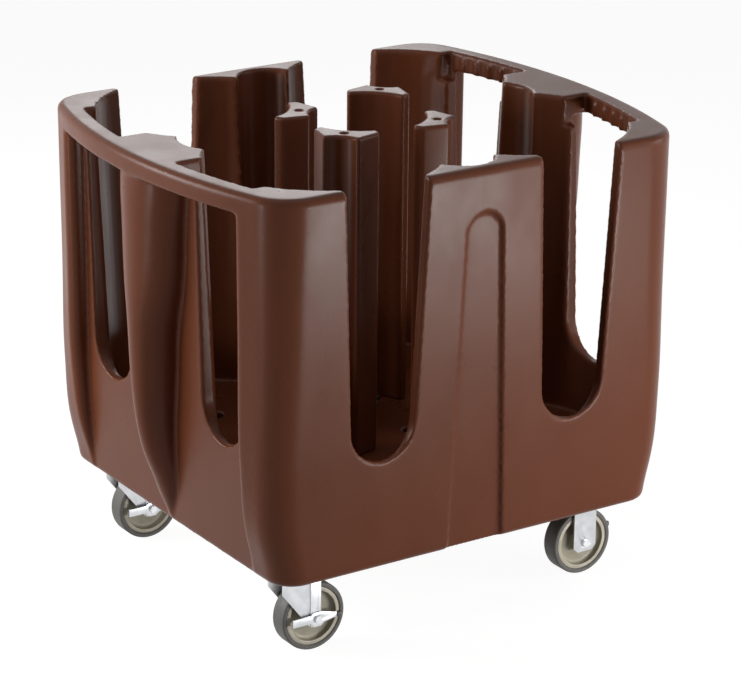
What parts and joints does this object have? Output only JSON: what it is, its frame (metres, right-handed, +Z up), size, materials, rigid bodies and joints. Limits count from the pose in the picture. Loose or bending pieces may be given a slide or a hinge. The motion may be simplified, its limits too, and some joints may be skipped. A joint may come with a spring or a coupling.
{
  "type": "plate dispenser cart",
  "caption": "Moulded open-topped cart with round bays for stacks of plates, sliding divider towers, tall slots in every side, bowed end rails and swivel and rigid castors with side-lock brakes",
  "frame": {"origin": "on the floor, under the middle of the cart's outline", "axes": "+X along the long side towards the rigid castors, the front long side faces -Y, +Z up"},
  "size_m": [0.9588, 0.7994, 0.86],
  "materials": {
    "moulding": "satin dark brown polyethylene with a fine moulded grain",
    "tyre": "warm dark grey non-marking rubber",
    "hub": "beige moulded wheel centre",
    "zinc": "bright zinc-plated pressed steel",
    "bearing": "ground bearing steel"
  },
  "bodies": {
    "body": {"body_shell": "moulding", "plate_bolts": "zinc", "top_plate_front_left": "zinc", "swivel_race_front_left": "zinc", "swivel_balls_front_left": "bearing", "kingpin_front_left": "zinc", "kingpin_nut_front_left": "zinc", "fork_front_right": "zinc", "axle_tube_front_right": "bearing", "axle_bolt_front_right": "zinc", "axle_nut_front_right": "zinc", "fork_back_right": "zinc", "axle_tube_back_right": "bearing", "axle_bolt_back_right": "zinc", "axle_nut_back_right": "zinc", "top_plate_back_left": "zinc", "swivel_race_back_left": "zinc", "swivel_balls_back_left": "bearing", "kingpin_back_left": "zinc", "kingpin_nut_back_left": "zinc"},
    "tower_back_left": {"tower_back_left": "moulding", "tower_bolt_back_left": "zinc", "tower_nut_back_left": "zinc"},
    "tower_front_left": {"tower_front_left": "moulding", "tower_bolt_front_left": "zinc", "tower_nut_front_left": "zinc"},
    "tower_front_right": {"tower_front_right": "moulding", "tower_bolt_front_right": "zinc", "tower_nut_front_right": "zinc"},
    "tower_back_right": {"tower_back_right": "moulding", "tower_bolt_back_right": "zinc", "tower_nut_back_right": "zinc"},
    "swivel_front_left": {"fork_front_left": "zinc", "brake_strip_front_left": "zinc", "axle_tube_front_left": "bearing", "axle_bolt_front_left": "zinc", "axle_nut_front_left": "zinc"},
    "wheel_front_left": {"tyre_front_left": "tyre", "hub_front_left": "hub", "bearing_sleeve_front_left": "bearing"},
    "brake_front_left": {"brake_lever_front_left": "zinc"},
    "wheel_front_right": {"tyre_front_right": "tyre", "hub_front_right": "hub", "bearing_sleeve_front_right": "bearing"},
    "brake_front_right": {"brake_lever_front_right": "zinc"},
    "wheel_back_right": {"tyre_back_right": "tyre", "hub_back_right": "hub", "bearing_sleeve_back_right": "bearing"},
    "brake_back_right": {"brake_lever_back_right": "zinc"},
    "swivel_back_left": {"fork_back_left": "zinc", "brake_strip_back_left": "zinc", "axle_tube_back_left": "bearing", "axle_bolt_back_left": "zinc", "axle_nut_back_left": "zinc"},
    "wheel_back_left": {"tyre_back_left": "tyre", "hub_back_left": "hub", "bearing_sleeve_back_left": "bearing"},
    "brake_back_left": {"brake_lever_back_left": "zinc"}
  },
  "joints": [
    {"name": "tower_slide_back_left", "type": "slide", "parent": "body", "child": "tower_back_left", "axis": [-0.7071, 0.7071, 0], "range_m": [-0.0135, 0.0955]},
    {"name": "tower_slide_front_left", "type": "slide", "parent": "body", "child": "tower_front_left", "axis": [-0.7071, -0.7071, 0], "range_m": [-0.0315, 0.0775]},
    {"name": "tower_slide_front_right", "type": "slide", "parent": "body", "child": "tower_front_right", "axis": [0.7071, -0.7071, 0], "range_m": [-0.0435, 0.0655]},
    {"name": "tower_slide_back_right", "type": "slide", "parent": "body", "child": "tower_back_right", "axis": [0.7071, 0.7071, 0], "range_m": [-0.0815, 0.0275]},
    {"name": "swivel_front_left", "type": "hinge", "parent": "body", "child": "swivel_front_left", "pos_m": [-0.328, -0.294, 0.15], "axis": [0, 0, 1], "continuous": true},
    {"name": "wheel_spin_front_left", "type": "hinge", "parent": "swivel_front_left", "child": "wheel_front_left", "pos_m": [-0.293, -0.294, 0.0635], "axis": [0, 1, 0], "continuous": true},
    {"name": "brake_hinge_front_left", "type": "hinge", "parent": "swivel_front_left", "child": "brake_front_left", "pos_m": [-0.293, -0.294, 0.0635], "axis": [0, 1, 0], "range_deg": [0, 25]},
    {"name": "wheel_spin_front_right", "type": "hinge", "parent": "body", "child": "wheel_front_right", "pos_m": [0.306, -0.281, 0.0635], "axis": [0, 1, 0], "continuous": true},
    {"name": "brake_hinge_front_right", "type": "hinge", "parent": "body", "child": "brake_front_right", "pos_m": [0.306, -0.281, 0.0635], "axis": [0, 1, 0], "range_deg": [0, 25]},
    {"name": "wheel_spin_back_right", "type": "hinge", "parent": "body", "child": "wheel_back_right", "pos_m": [0.306, 0.281, 0.0635], "axis": [0, 1, 0], "continuous": true},
    {"name": "brake_hinge_back_right", "type": "hinge", "parent": "body", "child": "brake_back_right", "pos_m": [0.306, 0.281, 0.0635], "axis": [0, 1, 0], "range_deg": [0, 25]},
    {"name": "swivel_back_left", "type": "hinge", "parent": "body", "child": "swivel_back_left", "pos_m": [-0.328, 0.294, 0.15], "axis": [0, 0, 1], "continuous": true},
    {"name": "wheel_spin_back_left", "type": "hinge", "parent": "swivel_back_left", "child": "wheel_back_left", "pos_m": [-0.293, 0.294, 0.0635], "axis": [0, 1, 0], "continuous": true},
    {"name": "brake_hinge_back_left", "type": "hinge", "parent": "swivel_back_left", "child": "brake_back_left", "pos_m": [-0.293, 0.294, 0.0635], "axis": [0, 1, 0], "range_deg": [0, 25]}
  ]
}
